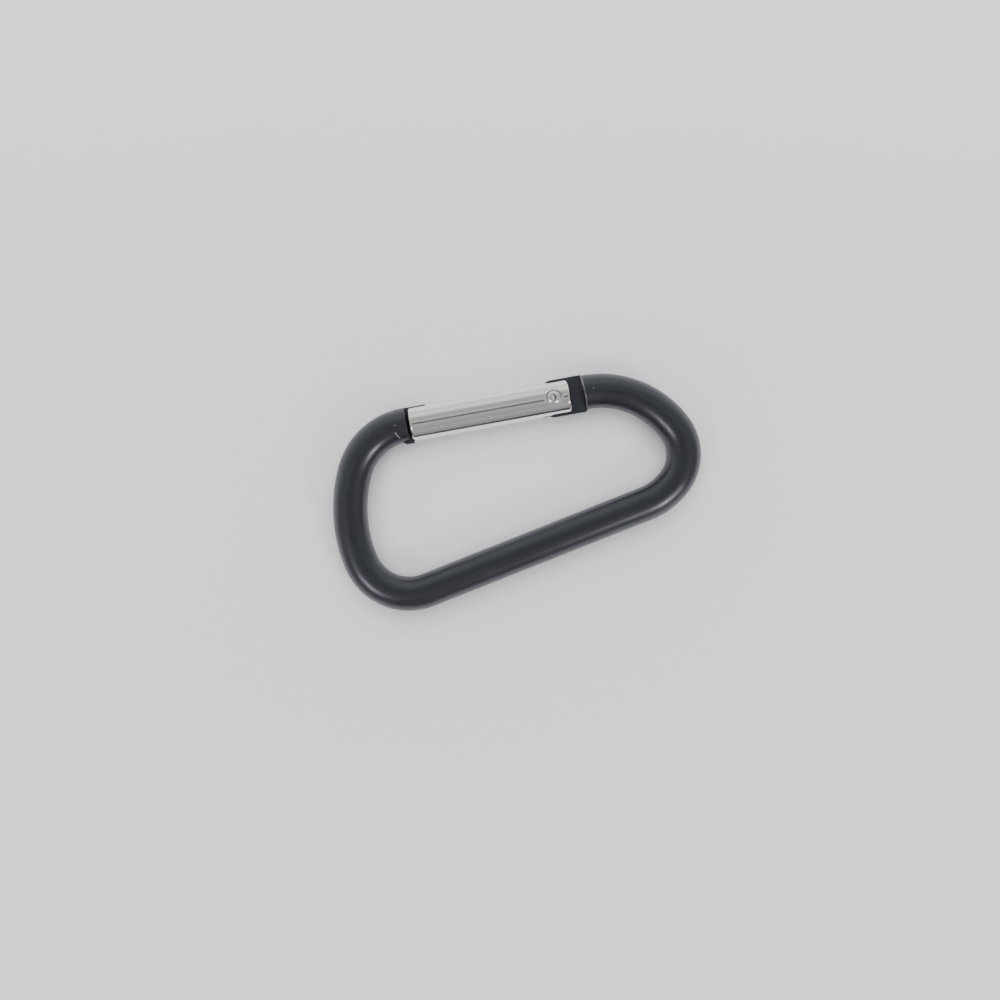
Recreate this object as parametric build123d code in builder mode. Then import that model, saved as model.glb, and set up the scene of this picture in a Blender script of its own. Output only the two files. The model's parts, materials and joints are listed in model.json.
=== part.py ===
from build123d import *

import os

os.makedirs("parts", exist_ok=True)

# A snap carabiner lying flat: a D-shaped loop bent from one round aluminium rod, closed by a
# straight turned gate. The gate swings on a rivet through a flat tongue at one end of the rod.
# Its free end drops over a second tongue at the rod's other end, the nose. A coil spring inside
# the gate pushes a plunger against the hinge tongue, whose corner works as a cam, and so the
# gate closes by itself.
#
# Everything is drawn about the hinge: Z is the hinge axis, X runs along the closed gate from the
# nose to the hinge, and Y points out of the loop. The rod's middle plane is Z = 0. At the end
# the pieces are set down with the loop's box centred over the origin and resting on Z = 0.

# Driving dimensions, in millimetres and degrees.

# Bent rod: each bend is (radius of the centreline, angle), in order from the nose to the hinge.
# The angles add up to a full turn, and the spine and the last bend close the loop. The rod's ends
# lie a little outside the gate's axis.
rod_radius = 3.68
rod_offset = 0.2
nose_face_x = -31.6
nose_lead = 0.7
wide_end_bends = [(13.4, 64.6), (30.4, 37.4), (11.1, 89.3)]
spine_length = 50.06
narrow_end_bends = [(14.5, 31.5), (9.6, 74.0), (19.72, 63.2)]
shoulder_lead = 0.4
nose_rounding = 0.1
shoulder_rounding = 0.35

# Flat tongues pressed at both ends of the rod
tongue_thickness = 2.0
tongue_edge_break = 0.15
shoulder_x = 6.5
hinge_tongue_reach = 2.1
hinge_tongue_rise = 3.97
hinge_tongue_drop = 3.97
tongue_taper_length = 1.1
tongue_taper_height = 0.9
nose_tongue_tip_x = -27.2
nose_tongue_rise = 3.75
nose_tongue_drop = 2.4
nose_foot_x = -30.8
nose_foot_drop = 3.95
nose_flare_x = -32.5

# Gate
gate_radius = 3.65
gate_nose_x = -31.4
gate_hinge_x = 3.8
nose_dome_length = 0.95
nose_dome_height = 1.65
hinge_dome_length = 0.8
hinge_dome_height = 1.6
bore_radius = 2.6
bore_floor_x = -20.0
slot_width = 2.2
hinge_slot_x = -2.9
nose_slot_x = -26.6
nose_slot_drop = 2.5
foot_slot_x = -30.5
dish_radius = 7.0
dish_depth = 0.32

# Hinge rivet
rivet_radius = 1.1
rivet_head_radius = 1.45
rivet_head_top = 3.65
rivet_head_rim = 3.25
rivet_seat = 3.0
rivet_seat_radius = 1.75
rivet_dimple_radius = 0.5
rivet_dimple_depth = 0.2
gate_hole_radius = 1.12
tongue_hole_radius = 1.16

# Plunger and spring
plunger_gap = 0.05
plunger_head_radius = 2.55
plunger_head_length = 1.6
plunger_stem_radius = 1.3
plunger_stem_length = 5.2
plunger_edge_break = 0.2
spring_mean_radius = 2.1
spring_wire_radius = 0.25
spring_turns = 11
spring_end_gap = 0.03


# Rod: one round section swept along arcs and a straight spine
with BuildPart() as rod:
    with BuildLine() as centreline:
        run = Line((nose_face_x, rod_offset), (nose_face_x - nose_lead, rod_offset))
        for radius, angle in wide_end_bends:
            run = JernArc(run @ 1, run % 1, radius, angle)
        run = Line(run @ 1, run @ 1 + run % 1 * spine_length)
        for radius, angle in narrow_end_bends:
            run = JernArc(run @ 1, run % 1, radius, angle)
        Line(run @ 1, run @ 1 + run % 1 * shoulder_lead)
    with BuildSketch(centreline.line ^ 0):
        Circle(rod_radius)
    sweep()
    end_faces = rod.faces().filter_by(Axis.X).sort_by(Axis.X)
    fillet(end_faces[0].edges(), nose_rounding)
    end_faces = rod.faces().filter_by(Axis.X).sort_by(Axis.X)
    fillet(end_faces[-1].edges(), shoulder_rounding)


# Body: the rod with its two tongues. Each tongue stands a little proud of the rod, where the
# pressed metal spread sideways, and tapers back into it.
with BuildPart() as body:
    with BuildSketch() as hinge_tongue:
        with BuildLine():
            Polyline(
                (-hinge_tongue_reach, hinge_tongue_rise),
                (shoulder_x, hinge_tongue_rise),
                (shoulder_x + tongue_taper_length, hinge_tongue_rise - tongue_taper_height),
                (shoulder_x + tongue_taper_length, tongue_taper_height - hinge_tongue_drop),
                (shoulder_x, -hinge_tongue_drop),
                (-hinge_tongue_reach, -hinge_tongue_drop),
                close=True,
            )
        make_face()
        fillet(hinge_tongue.vertices().group_by(Axis.X)[0], hinge_tongue_reach)
    with BuildSketch() as nose_tongue:
        with BuildLine():
            Polyline(
                (nose_flare_x, nose_tongue_rise),
                (nose_tongue_tip_x, nose_tongue_rise),
                (nose_tongue_tip_x, -nose_tongue_drop),
                (nose_foot_x, -nose_tongue_drop),
                (nose_foot_x, -nose_foot_drop),
                (nose_flare_x, -nose_foot_drop),
                (nose_flare_x - tongue_taper_length, tongue_taper_height - nose_foot_drop),
                (nose_flare_x - tongue_taper_length, nose_tongue_rise - tongue_taper_height),
                close=True,
            )
        make_face()
    extrude(amount=tongue_thickness / 2, both=True)
    chamfer(body.faces().filter_by(Axis.Z).edges(), tongue_edge_break)
    add(rod.part)
    Hole(tongue_hole_radius)


# Gate: a turned bar with domed ends, bored from the hinge end to a flat spring seat
with BuildPart() as gate:
    with BuildSketch():
        with BuildLine():
            nose_dome = EllipticalCenterArc(
                (gate_nose_x + nose_dome_length, gate_radius - nose_dome_height),
                nose_dome_length,
                nose_dome_height,
                start_angle=90,
                arc_size=90,
            )
            hinge_dome = EllipticalCenterArc(
                (gate_hinge_x - hinge_dome_length, gate_radius - hinge_dome_height),
                hinge_dome_length,
                hinge_dome_height,
                start_angle=0,
                arc_size=90,
            )
            Line(nose_dome @ 0, hinge_dome @ 1)
            Polyline(nose_dome @ 1, (gate_nose_x, 0), (gate_hinge_x, 0), hinge_dome @ 0)
        make_face()
        with Locations((bore_floor_x, 0)):
            bore_length = gate_hinge_x - bore_floor_x
            Rectangle(bore_length, bore_radius, align=(Align.MIN, Align.MIN), mode=Mode.SUBTRACT)
    revolve(axis=Axis.X)

    # Slots over the two tongues. The nose slot is open to the outside, and its floor stops the
    # gate in line with the rod. Its first millimetre goes right through, over the nose's foot.
    with BuildSketch():
        with Locations((gate_hinge_x, 0)):
            Rectangle(gate_hinge_x - hinge_slot_x, gate_radius * 2, align=(Align.MAX, Align.CENTER))
        with Locations((gate_nose_x, -nose_slot_drop)):
            Rectangle(nose_slot_x - gate_nose_x, gate_radius * 2, align=(Align.MIN, Align.MIN))
        with Locations((gate_nose_x, 0)):
            Rectangle(foot_slot_x - gate_nose_x, gate_radius * 2, align=(Align.MIN, Align.CENTER))
    extrude(amount=slot_width / 2, both=True, mode=Mode.SUBTRACT)

    # A shallow dish and a flat seat for the rivet's head on each cheek
    for cheek in (Plane.XY, -Plane.XY):
        with Locations(cheek.offset(gate_radius - dish_depth + dish_radius)):
            Sphere(dish_radius, mode=Mode.SUBTRACT)
        with Locations(cheek.offset(gate_radius)):
            CounterBoreHole(gate_hole_radius, rivet_seat_radius, gate_radius - rivet_seat, gate_radius)


# Hinge rivet: a shank with a domed head, dimpled in the middle, at each end
with BuildPart() as hinge_rivet:
    with BuildSketch(Plane.XZ):
        with BuildLine():
            dimple_floor = (0, rivet_head_top - rivet_dimple_depth)
            dimple = TangentArc(dimple_floor, (rivet_dimple_radius, rivet_head_top), tangent=(1, 0))
            dome = TangentArc(dimple @ 1, (rivet_head_radius, rivet_head_rim), tangent=(1, 0))
            Polyline(
                dome @ 1,
                (rivet_head_radius, rivet_seat),
                (rivet_radius, rivet_seat),
                (rivet_radius, 0),
                (0, 0),
                dimple @ 0,
            )
        make_face()
    revolve(axis=Axis.Z)
    mirror(about=Plane.XY)


# Plunger: a headed pin that slides in the bore, its stem guiding the spring
plunger_face_x = -hinge_tongue_reach - plunger_gap
plunger_back_x = plunger_face_x - plunger_head_length
with BuildPart() as plunger:
    with BuildSketch(Plane.YZ.offset(plunger_face_x)):
        Circle(plunger_head_radius)
    extrude(amount=-plunger_head_length)
    with BuildSketch(Plane.YZ.offset(plunger_back_x)):
        Circle(plunger_stem_radius)
    extrude(amount=-plunger_stem_length)
    rims = plunger.edges().filter_by(GeomType.CIRCLE).sort_by(Axis.X)
    chamfer([rims[0], rims[-1]], plunger_edge_break)


# Gate spring: an open coil between the bore's floor and the plunger's head
coil_start_x = bore_floor_x + spring_wire_radius + spring_end_gap
coil_length = plunger_back_x - spring_wire_radius - spring_end_gap - coil_start_x
with BuildPart() as gate_spring:
    with BuildLine() as coil:
        Helix(
            pitch=coil_length / spring_turns,
            height=coil_length,
            radius=spring_mean_radius,
            center=(coil_start_x, 0, 0),
            direction=(1, 0, 0),
        )
    with BuildSketch(coil.line ^ 0):
        Circle(spring_wire_radius)
    sweep(is_frenet=True)


# Set the pieces down in the object's own frame
loop_box = body.part.bounding_box()
set_down = Location((-loop_box.center().X, -loop_box.center().Y, -loop_box.min.Z))

pieces = {
    "body": body.part,
    "gate": gate.part,
    "hinge_rivet": hinge_rivet.part,
    "plunger": plunger.part,
    "gate_spring": gate_spring.part,
}
for name, piece in pieces.items():
    piece.label = name
    export_step(piece.moved(set_down), f"parts/{name}.step")

hinge_at = set_down.position
loop_end = centreline.line @ 1
print(f"hinge axis at x {hinge_at.X:.4f}, y {hinge_at.Y:.4f}, middle plane at z {hinge_at.Z:.4f}")
print(f"rod ends {loop_end.X - shoulder_x:.4f} in x, {loop_end.Y - rod_offset:.4f} in y off the shoulder")
print(f"loop {loop_box.size.X:.3f} by {loop_box.size.Y:.3f} by {loop_box.size.Z:.3f}")
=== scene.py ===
import json
from math import cos, pi, radians, sin, tau

import bmesh
import bpy
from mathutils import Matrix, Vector


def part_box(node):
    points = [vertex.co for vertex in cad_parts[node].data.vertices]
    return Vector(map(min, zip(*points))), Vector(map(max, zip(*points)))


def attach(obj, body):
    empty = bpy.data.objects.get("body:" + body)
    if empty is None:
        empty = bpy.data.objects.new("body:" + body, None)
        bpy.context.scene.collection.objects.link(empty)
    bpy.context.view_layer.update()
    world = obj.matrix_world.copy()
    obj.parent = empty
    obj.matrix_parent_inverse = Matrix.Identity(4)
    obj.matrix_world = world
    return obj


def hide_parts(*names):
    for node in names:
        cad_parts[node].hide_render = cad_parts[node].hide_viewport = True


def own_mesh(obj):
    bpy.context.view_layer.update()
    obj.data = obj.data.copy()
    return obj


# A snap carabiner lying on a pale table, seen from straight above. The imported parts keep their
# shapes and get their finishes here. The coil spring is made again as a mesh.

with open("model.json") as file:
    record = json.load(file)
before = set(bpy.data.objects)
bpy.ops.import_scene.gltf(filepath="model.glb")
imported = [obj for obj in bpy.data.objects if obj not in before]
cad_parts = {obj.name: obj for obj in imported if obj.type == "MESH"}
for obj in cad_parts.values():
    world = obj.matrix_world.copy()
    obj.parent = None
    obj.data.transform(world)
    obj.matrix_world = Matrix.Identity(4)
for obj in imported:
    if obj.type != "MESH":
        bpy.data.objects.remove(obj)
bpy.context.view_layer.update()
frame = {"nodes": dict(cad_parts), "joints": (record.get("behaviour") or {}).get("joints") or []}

MM = 0.001

# The view: straight down, with the gate's axis rising to the right by TURN in the picture.
TURN = radians(10.35)
VIEW_WIDTH = 214 * MM
CAMERA_HEIGHT = 220 * MM
SENSOR_WIDTH = 36
AIM_OFFSET = Vector((-4.14, -1.57, 0)) * MM

TABLE_HALF_WIDTH = 1.5
CARD_RISE = 2 * MM
ROOM_STRENGTH = 1.1

# The room's light by its tilt from straight up, in degrees, towards the gate's outer side
ROOM = [
    (-180, (0.30, 0.29, 0.28)),
    (-80, (0.285, 0.268, 0.268)),
    (-55, (0.42, 0.39, 0.395)),
    (-36, (0.355, 0.33, 0.335)),
    (-19, (0.435, 0.415, 0.415)),
    (13, (0.57, 0.57, 0.545)),
    (21, (0.39, 0.395, 0.375)),
    (37, (0.46, 0.47, 0.445)),
    (51, (0.98, 1.0, 0.95)),
    (90, (0.80, 0.825, 0.775)),
    (180, (0.60, 0.61, 0.59)),
]

# Small marks, each by its two ends off the hinge and half its width, all in millimetres
BODY_MARKS_AND_HIGHLIGHT = [
    # The first body mark is a painted highlight along the top of the shoulder's edge; the others are
    # small marks.
    ((6.52, 4.1), (6.59, 1.6), 0.13),
    ((-34.25, -1.35), (-33.55, -2.55), 0.12),
    ((-34.0, 0.15), (-33.95, 0.25), 0.1),
    ((8.55, 0.42), (8.65, 0.44), 0.1),
]
GATE_MARKS = [
    ((-14.1, -1.05), (-13.75, -1.97), 0.09),
    ((-12.9, -0.7), (-12.6, -0.95), 0.07),
    ((-19.2, 3.05), (-19.15, 3.15), 0.1),
    ((-24.6, -1.7), (-24.0, -1.75), 0.06),
]

# Painted shade on the rivet's head: a dark chevron where the side of its dimple lies in shade.
RIVET_PAINTED_SHADE = [
    ((0.0, 0.5), (0.42, 0.05), 0.2),
    ((0.42, 0.05), (0.15, -0.42), 0.2),
]

# The picture's own directions, on the table
PICTURE_RIGHT = Vector((cos(TURN), -sin(TURN), 0))
PICTURE_UP = Vector((sin(TURN), cos(TURN), 0))
UP = Vector((0, 0, 1))

low, high = (Vector(corner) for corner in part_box("body"))
middle = (low + high) / 2
hinge = Vector(next(joint for joint in frame["joints"] if joint["name"] == "gate_hinge")["pos_m"])


# --- Camera, table and light ---

def add_camera():
    """A camera looking straight down on the rod's middle plane."""
    data = bpy.data.cameras.new("camera")
    data.sensor_width = SENSOR_WIDTH
    data.lens = SENSOR_WIDTH * CAMERA_HEIGHT / VIEW_WIDTH
    camera = bpy.data.objects.new("camera", data)
    camera.location = middle + AIM_OFFSET + UP * CAMERA_HEIGHT
    camera.rotation_euler = (0, 0, -TURN)
    bpy.context.collection.objects.link(camera)
    bpy.context.scene.camera = camera


def direction(azimuth, tilt):
    """A direction by its azimuth in the picture, from the right, and its tilt from straight up."""
    level = PICTURE_RIGHT * cos(radians(azimuth)) + PICTURE_UP * sin(radians(azimuth))
    return level * sin(radians(tilt)) + UP * cos(radians(tilt))


def softbox(name, azimuth, tilt, distance, width, height, brightness, colour):
    """A rectangular light facing the carabiner. Brightness is how bright its own face looks."""
    data = bpy.data.lights.new(name, "AREA")
    data.shape = "RECTANGLE"
    data.size = width
    data.size_y = height
    data.energy = brightness * pi * width * height
    data.color = colour
    light = bpy.data.objects.new(name, data)
    towards = direction(azimuth, tilt)
    light.location = middle + towards * distance
    light.rotation_euler = towards.to_track_quat("Z", "Y").to_euler()
    bpy.context.collection.objects.link(light)
    return light


def add_table():
    """A wide pale tabletop at the height that the carabiner lies on."""
    mesh = bpy.data.meshes.new("table")
    half = TABLE_HALF_WIDTH
    corners = [(-half, -half, low.z), (half, -half, low.z), (half, half, low.z), (-half, half, low.z)]
    mesh.from_pydata(corners, [], [(0, 1, 2, 3)])
    table = bpy.data.objects.new("table", mesh)
    bpy.context.collection.objects.link(table)
    table.data.materials.append(table_material())


def add_world():
    """The room: its brightness and colour by the tilt of the direction across the gate."""
    world = bpy.data.worlds.new("room")
    world.use_nodes = True
    tree = world.node_tree
    towards = tree.nodes.new("ShaderNodeTexCoord")
    axes = tree.nodes.new("ShaderNodeSeparateXYZ")
    tilt = tree.nodes.new("ShaderNodeMath")
    tilt.operation = "ARCTAN2"
    share = tree.nodes.new("ShaderNodeMapRange")
    share.inputs["From Min"].default_value = -pi
    share.inputs["From Max"].default_value = pi
    ramp = tree.nodes.new("ShaderNodeValToRGB")
    tree.links.new(towards.outputs["Generated"], axes.inputs["Vector"])
    tree.links.new(axes.outputs["Y"], tilt.inputs[0])
    tree.links.new(axes.outputs["Z"], tilt.inputs[1])
    tree.links.new(tilt.outputs["Value"], share.inputs["Value"])
    tree.links.new(share.outputs["Result"], ramp.inputs["Fac"])
    background = tree.nodes["Background"]
    background.inputs["Strength"].default_value = ROOM_STRENGTH
    tree.links.new(ramp.outputs["Color"], background.inputs["Color"])
    stops = ramp.color_ramp.elements
    for count, (degrees, colour) in enumerate(ROOM):
        place = 0.5 + degrees / 360
        stop = stops[count] if count < 2 else stops.new(place)
        stop.position = place
        stop.color = (*colour, 1)
    bpy.context.scene.world = world


def add_card(name, right, up, width, height, brightness):
    """A dark card just above the camera, by its middle in the picture. The camera doesn't see it."""
    half_width, half_height = PICTURE_RIGHT * width / 2, PICTURE_UP * height / 2
    centre = middle + AIM_OFFSET + UP * (CAMERA_HEIGHT + CARD_RISE)
    centre += PICTURE_RIGHT * right + PICTURE_UP * up
    mesh = bpy.data.meshes.new(name)
    signs = ((-1, -1), (-1, 1), (1, 1), (1, -1))
    corners = [centre + half_width * x + half_height * y for x, y in signs]
    mesh.from_pydata(corners, [], [(0, 1, 2, 3)])
    card = bpy.data.objects.new(name, mesh)
    card.visible_camera = False
    bpy.context.collection.objects.link(card)
    nodes = Nodes(name)
    nodes.set(Roughness=0.8)
    cloud = nodes.noise(20, detail=2)
    nodes.colour(nodes.mixed(cloud, (brightness,) * 3, (brightness * 1.2,) * 3))
    card.data.materials.append(nodes.material)


# --- Materials ---

class Nodes:
    """A material's node tree, with short ways to add and join its nodes."""

    def __init__(self, name):
        self.material = bpy.data.materials.new(name)
        self.material.use_nodes = True
        self.tree = self.material.node_tree
        self.shader = self.tree.nodes["Principled BSDF"]
        self.place = self.add("ShaderNodeTexCoord").outputs["Object"]

    def add(self, kind, **values):
        node = self.tree.nodes.new(kind)
        for key, value in values.items():
            setattr(node, key, value)
        return node

    def join(self, source, target):
        self.tree.links.new(source, target)

    def set(self, **values):
        """Constant values on the shader, by its sockets' names."""
        for key, value in values.items():
            self.shader.inputs[key.replace("_", " ")].default_value = value

    def colour(self, source):
        self.join(source, self.shader.inputs["Base Color"])

    def stretched(self, scale):
        """The object's coordinates, scaled along each axis."""
        mapping = self.add("ShaderNodeMapping")
        self.join(self.place, mapping.inputs["Vector"])
        mapping.inputs["Scale"].default_value = scale
        return mapping.outputs["Vector"]

    def noise(self, scale, stretch=(1, 1, 1), detail=3, roughness=0.5):
        """Noise whose largest grains are about 1 / scale metres across."""
        node = self.add("ShaderNodeTexNoise")
        node.inputs["Scale"].default_value = scale
        node.inputs["Detail"].default_value = detail
        node.inputs["Roughness"].default_value = roughness
        self.join(self.stretched(stretch), node.inputs["Vector"])
        return node.outputs["Fac"]

    def ramp(self, value, low, high, start=0.0, end=1.0):
        """A value from start to end mapped to the range from low to high."""
        node = self.add("ShaderNodeMapRange")
        node.inputs["From Min"].default_value = start
        node.inputs["From Max"].default_value = end
        node.inputs["To Min"].default_value = low
        node.inputs["To Max"].default_value = high
        self.join(value, node.inputs["Value"])
        return node.outputs["Result"]

    def mixed(self, value, first, second):
        """A colour between first and second."""
        node = self.add("ShaderNodeMix", data_type="RGBA")
        self.join(value, node.inputs["Factor"])
        node.inputs["A"].default_value = (*first, 1)
        node.inputs["B"].default_value = (*second, 1)
        return node.outputs["Result"]

    def plan_from(self, point):
        """The place in plan, from a point that lies off the hinge."""
        first = hinge + Vector((*point, 0)) * MM
        flat = self.add("ShaderNodeVectorMath", operation="MULTIPLY_ADD")
        self.join(self.place, flat.inputs[0])
        flat.inputs[1].default_value = (1, 1, 0)
        flat.inputs[2].default_value = (-first.x, -first.y, 0)
        return flat.outputs["Vector"]

    def outer_ring(self, inner, outer, soft):
        """1 between two radii round the hinge, in millimetres, fading out towards the loop's inside."""
        flat = self.plan_from((0, 0))
        away = self.add("ShaderNodeVectorMath", operation="LENGTH")
        self.join(flat, away.inputs[0])
        axes = self.add("ShaderNodeSeparateXYZ")
        self.join(flat, axes.inputs["Vector"])
        within = self.ramp(away.outputs["Value"], 1, 0, outer * MM, (outer + soft) * MM)
        beyond = self.ramp(away.outputs["Value"], 0, 1, (inner - soft) * MM, inner * MM)
        side = self.ramp(axes.outputs["Y"], 0, 1, -0.9 * MM, 0.2 * MM)
        return self.times(self.times(within, beyond), side)

    def stroke(self, start, end, half_width):
        """1 along a short line in plan, between two points off the hinge, and 0 beyond its width."""
        along = Vector((*end, 0)) * MM - Vector((*start, 0)) * MM
        flat = self.plan_from(start)
        share = self.add("ShaderNodeVectorMath", operation="DOT_PRODUCT")
        self.join(flat, share.inputs[0])
        share.inputs[1].default_value = along / along.length_squared
        clamped = self.add("ShaderNodeClamp")
        self.join(share.outputs["Value"], clamped.inputs["Value"])
        foot = self.add("ShaderNodeVectorMath", operation="SCALE")
        foot.inputs[0].default_value = along
        self.join(clamped.outputs["Result"], foot.inputs["Scale"])
        away = self.add("ShaderNodeVectorMath", operation="DISTANCE")
        self.join(flat, away.inputs[0])
        self.join(foot.outputs["Vector"], away.inputs[1])
        return self.ramp(away.outputs["Value"], 1, 0, 0.4 * half_width * MM, half_width * MM)

    def times(self, first, second):
        """The product of two values."""
        node = self.add("ShaderNodeMath", operation="MULTIPLY")
        self.join(first, node.inputs[0])
        self.join(second, node.inputs[1])
        return node.outputs["Value"]

    def most(self, values):
        """The largest of several values."""
        result = values[0]
        for value in values[1:]:
            node = self.add("ShaderNodeMath", operation="MAXIMUM")
            self.join(result, node.inputs[0])
            self.join(value, node.inputs[1])
            result = node.outputs["Value"]
        return result

    def over(self, value, under, colour):
        """A colour laid over another output where the value is 1."""
        node = self.add("ShaderNodeMix", data_type="RGBA")
        self.join(value, node.inputs["Factor"])
        self.join(under, node.inputs["A"])
        node.inputs["B"].default_value = (*colour, 1)
        return node.outputs["Result"]

    def bump(self, height, distance, strength=1.0, under=None):
        """A bump of the given depth in metres, on top of another."""
        node = self.add("ShaderNodeBump")
        node.inputs["Distance"].default_value = distance
        node.inputs["Strength"].default_value = strength
        self.join(height, node.inputs["Height"])
        if under is not None:
            self.join(under, node.inputs["Normal"])
        return node.outputs["Normal"]


def table_material():
    """A pale, smooth, faintly mottled tabletop."""
    nodes = Nodes("table")
    nodes.set(Roughness=0.6)
    cloud = nodes.noise(9, detail=2)
    nodes.colour(nodes.mixed(cloud, (0.855, 0.855, 0.89), (0.885, 0.885, 0.915)))
    return nodes.material


def body_material():
    """Near-black glossy anodised rod: mottling, orange peel, specks, worn places and a painted
    highlight at the shoulder.
    """
    nodes = Nodes("body_black")
    nodes.set(Metallic=0.0, IOR=1.75, Specular_Tint=(0.86, 0.89, 1.0, 1.0))
    mottle = nodes.noise(220, detail=4)
    black = nodes.mixed(mottle, (0.005, 0.006, 0.0092), (0.0075, 0.009, 0.0132))
    specks = nodes.ramp(nodes.noise(2600, detail=1), 0, 0.5, 0.70, 0.76)
    dusted = nodes.over(specks, black, (0.05, 0.052, 0.055))
    # Painted highlight: a light line down the shoulder's edge, broken up by noise.
    painted_edge_highlight = nodes.stroke((6.57, 1.8), (6.75, -4.0), 0.14)
    highlight_breakup = nodes.ramp(nodes.noise(900, detail=3), 0.2, 0.6, 0.3, 0.6)
    marks = [nodes.times(painted_edge_highlight, highlight_breakup)]
    for mark in BODY_MARKS_AND_HIGHLIGHT:
        marks.append(nodes.stroke(*mark))
    # Light grey where the rod is worn bare, and as a painted highlight along the shoulder's edge.
    bare_and_highlight = nodes.most(marks)
    nodes.colour(nodes.over(bare_and_highlight, dusted, (0.26, 0.26, 0.27)))
    smear = nodes.noise(350, detail=5, roughness=0.6)
    nodes.join(nodes.ramp(smear, 0.28, 0.37, 0.3, 0.7), nodes.shader.inputs["Roughness"])
    peel = nodes.bump(nodes.noise(1600, detail=2), 0.006 * MM, 0.5)
    nodes.join(nodes.bump(bare_and_highlight, 0.02 * MM, 0.6, peel), nodes.shader.inputs["Normal"])
    return nodes.material


def gate_material():
    """Bright aluminium, polished along its length, with faint drawing lines, a few nicks and painted
    shade round the rivet.
    """
    nodes = Nodes("gate_aluminium")
    nodes.set(Metallic=1.0)
    lines = nodes.noise(2600, stretch=(0.04, 1, 1), detail=4)
    bright = nodes.mixed(lines, (0.85, 0.855, 0.845), (0.90, 0.905, 0.895))
    nicks = nodes.most([nodes.stroke(*mark) for mark in GATE_MARKS])
    nicked = nodes.over(nicks, bright, (0.95, 0.95, 0.95))
    # Painted shade: a dark arc round the rivet's head, on the side away from the loop's inside, where
    # its seat lies in shade.
    painted_shade = nodes.outer_ring(1.4, 1.54, 0.08)
    nodes.colour(nodes.over(painted_shade, nicked, (0.05, 0.05, 0.052)))
    polish = nodes.ramp(lines, 0.07, 0.14, 0.3, 0.7)
    nodes.join(polish, nodes.shader.inputs["Roughness"])
    waves = nodes.bump(nodes.noise(500, stretch=(0.3, 1, 1), detail=2), 0.003 * MM, 0.5)
    drawn = nodes.bump(lines, 0.0015 * MM, 0.6, waves)
    nodes.join(nodes.bump(nicks, 0.03 * MM, 0.8, drawn), nodes.shader.inputs["Normal"])
    return nodes.material


def steel_material(name, light, dark, roughness, shade_strokes=()):
    """Bare steel with small marks and, if any are given, strokes of painted shade."""
    nodes = Nodes(name)
    nodes.set(Metallic=1.0)
    marks = nodes.noise(3000, detail=4)
    colour = nodes.mixed(marks, dark, light)
    # Painted shade, laid over the steel stroke by stroke.
    for shade_stroke in shade_strokes:
        colour = nodes.over(nodes.stroke(*shade_stroke), colour, (0.06, 0.06, 0.065))
    nodes.colour(colour)
    rough = nodes.ramp(marks, roughness * 0.8, roughness * 1.3, 0.3, 0.7)
    nodes.join(rough, nodes.shader.inputs["Roughness"])
    nodes.join(nodes.bump(marks, 0.004 * MM, 0.5), nodes.shader.inputs["Normal"])
    return nodes.material


def finish_node(name, material):
    """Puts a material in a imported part's own slots."""
    for slot in frame["nodes"][name].material_slots:
        slot.material = material


# --- The coil spring ---

WIRE_RADIUS = 0.25 * MM
SPRING_TURNS = 12
CLOSED_TURNS = 1.0
CLOSED_PITCH = 2.05 * WIRE_RADIUS
SPRING_STEPS_PER_TURN = 28
WIRE_SIDES = 10


def spring_advance(turn):
    """How far along the coil, from 0 to 1, a turn has come: the end turns lie wire against wire."""
    closed = 2 * CLOSED_TURNS
    open_turns = SPRING_TURNS - closed
    start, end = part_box("gate_spring")
    length = end[0] - start[0] - 2 * WIRE_RADIUS
    closed_pitch = CLOSED_PITCH / length
    open_pitch = (1 - closed * closed_pitch) / open_turns
    first = min(turn, CLOSED_TURNS) * closed_pitch
    second = min(max(turn - CLOSED_TURNS, 0), open_turns) * open_pitch
    third = max(turn - CLOSED_TURNS - open_turns, 0) * closed_pitch
    return first + second + third


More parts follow.
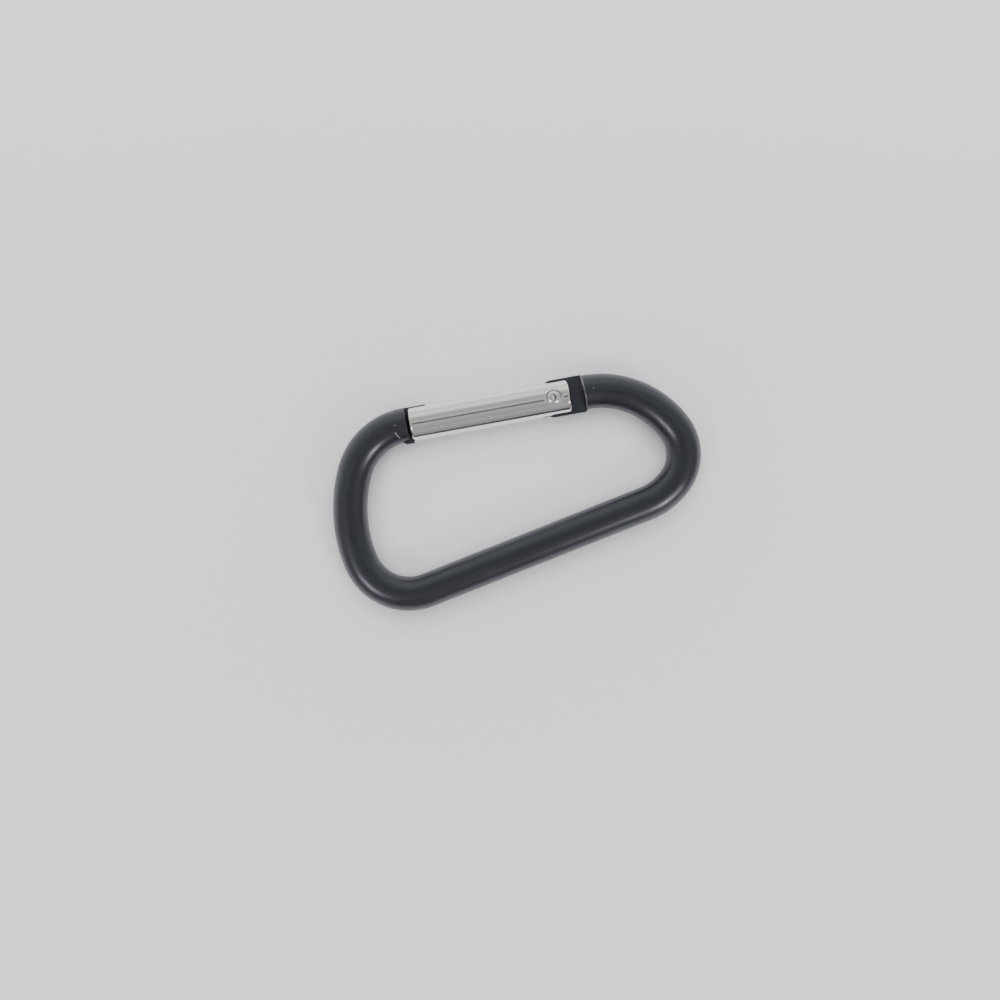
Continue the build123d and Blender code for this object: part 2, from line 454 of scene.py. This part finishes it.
def build_spring():
    """A helical wire in the bore, from the gate's seat to the plunger's head."""
    start, end = (Vector(corner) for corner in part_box("gate_spring"))
    axis_y, axis_z = (start.y + end.y) / 2, (start.z + end.z) / 2
    coil_radius = (end.y - start.y) / 2 - WIRE_RADIUS
    length = end.x - start.x - 2 * WIRE_RADIUS
    mesh = bmesh.new()
    rings = []
    steps = SPRING_TURNS * SPRING_STEPS_PER_TURN
    for step in range(steps + 1):
        turn = step / SPRING_STEPS_PER_TURN
        angle = tau * turn
        outward = Vector((0, cos(angle), sin(angle)))
        centre = Vector((start.x + WIRE_RADIUS + length * spring_advance(turn), axis_y, axis_z))
        centre += outward * coil_radius
        ring = []
        for side in range(WIRE_SIDES):
            around = tau * side / WIRE_SIDES
            offset = outward * cos(around) + Vector((1, 0, 0)) * sin(around)
            ring.append(mesh.verts.new(centre + offset * WIRE_RADIUS))
        rings.append(ring)
    for ring, following in zip(rings, rings[1:]):
        for side in range(WIRE_SIDES):
            after = (side + 1) % WIRE_SIDES
            mesh.faces.new((ring[side], ring[after], following[after], following[side]))
    mesh.faces.new(rings[0])
    mesh.faces.new(list(reversed(rings[-1])))
    bmesh.ops.recalc_face_normals(mesh, faces=mesh.faces)
    data = bpy.data.meshes.new("spring_coil")
    mesh.to_mesh(data)
    mesh.free()
    for face in data.polygons:
        face.use_smooth = True
    spring = bpy.data.objects.new("spring_coil", data)
    bpy.context.collection.objects.link(spring)
    return spring


def add_spring():
    """The spring rides in the gate, from its seat to the plunger's head."""
    spring = build_spring()
    wire = steel_material("spring_wire", (0.6, 0.6, 0.6), (0.45, 0.45, 0.45), 0.25)
    spring.data.materials.append(wire)
    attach(spring, "gate")
    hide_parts("gate_spring")
    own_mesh(spring)


# --- The scene ---

add_camera()
add_table()
add_world()
add_card("phone", 5 * MM, 13 * MM, 110 * MM, 48 * MM, 0.1)
add_card("hand_left", -75 * MM, 10 * MM, 50 * MM, 70 * MM, 0.18)
add_card("hand_right", 87 * MM, 15 * MM, 54 * MM, 60 * MM, 0.18)

softbox("lamp", 316, 55, 0.9, 0.2, 0.2, 18.0, (1.0, 0.99, 0.97))
softbox("lamp_left", 225, 47, 0.9, 0.2, 0.2, 12.0, (1.0, 0.98, 0.97))
fill = softbox("fill", 90, 20, 1.0, 1.2, 1.2, 3.0, (0.99, 0.985, 1.0))
fill.visible_glossy = False

finish_node("body", body_material())
finish_node("gate", gate_material())
rivet_steel = steel_material("rivet_steel", (0.92, 0.92, 0.91), (0.76, 0.76, 0.75), 0.23, RIVET_PAINTED_SHADE)
finish_node("hinge_rivet", rivet_steel)
plunger_steel = steel_material("plunger_steel", (0.62, 0.62, 0.62), (0.5, 0.5, 0.5), 0.25)
finish_node("plunger", plunger_steel)
add_spring()
